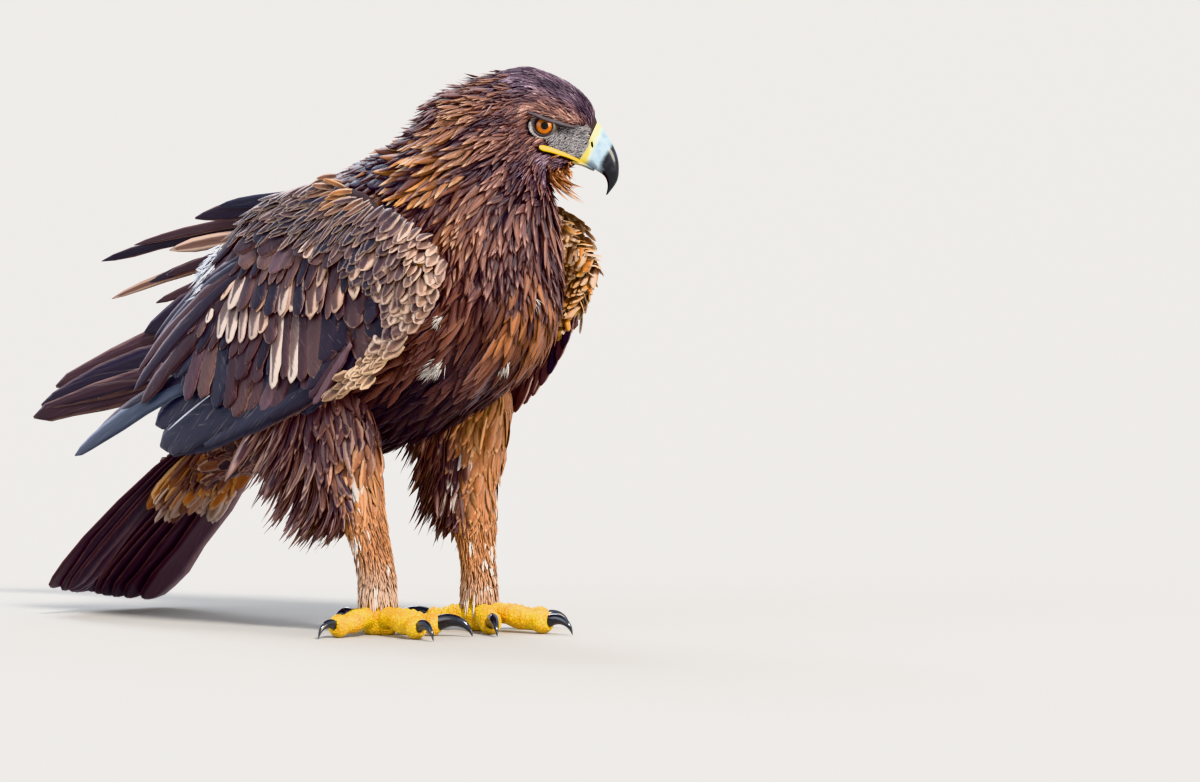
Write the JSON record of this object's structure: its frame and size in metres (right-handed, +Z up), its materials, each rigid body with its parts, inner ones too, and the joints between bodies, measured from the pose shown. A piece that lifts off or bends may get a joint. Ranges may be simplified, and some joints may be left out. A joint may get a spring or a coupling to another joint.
{
  "type": "golden eagle",
  "caption": "Life-size golden eagle standing alert, head turned to its left, wings loosely folded and lifted, tail lowered, on yellow feet with black talons.",
  "frame": {"origin": "on the floor under the middle of the bird's box; the middle of the feet is 0.201 m ahead of it and 0.004 m to its left", "axes": "+X the way the body faces, +Y the bird's left, +Z up"},
  "size_m": [0.7464, 0.2749, 0.5378],
  "materials": {
    "feathers_dark": "dark brown feathers with a faint purple sheen",
    "feathers_wing": "brown wing feathers, paler buff at their edges",
    "feathers_golden": "rufous and golden lance-shaped feathers over dark bases",
    "feathers_tawny": "short tawny leg feathers flecked with white",
    "skin_yellow": "bare scaly skin, satin",
    "horn_blue_grey": "horn, blue-grey running to black at the tip",
    "claw_black": "polished black horn",
    "eye_amber": "wet, glossy"
  },
  "bodies": {
    "root": {"torso": "feathers_dark", "neck": "feathers_golden", "head": "feathers_golden", "tail": "feathers_dark", "wing_right": "feathers_wing", "wing_left": "feathers_wing", "leg_right": "feathers_tawny", "leg_left": "feathers_tawny", "foot_right": "skin_yellow", "foot_left": "skin_yellow", "cere": "skin_yellow", "bill_upper": "horn_blue_grey", "bill_lower": "horn_blue_grey", "eye_right": "eye_amber", "eye_left": "eye_amber", "claw_right_inner": "claw_black", "claw_right_middle": "claw_black", "claw_right_outer": "claw_black", "claw_right_hind": "claw_black", "claw_left_inner": "claw_black", "claw_left_middle": "claw_black", "claw_left_outer": "claw_black", "claw_left_hind": "claw_black"}
  },
  "joints": []
}
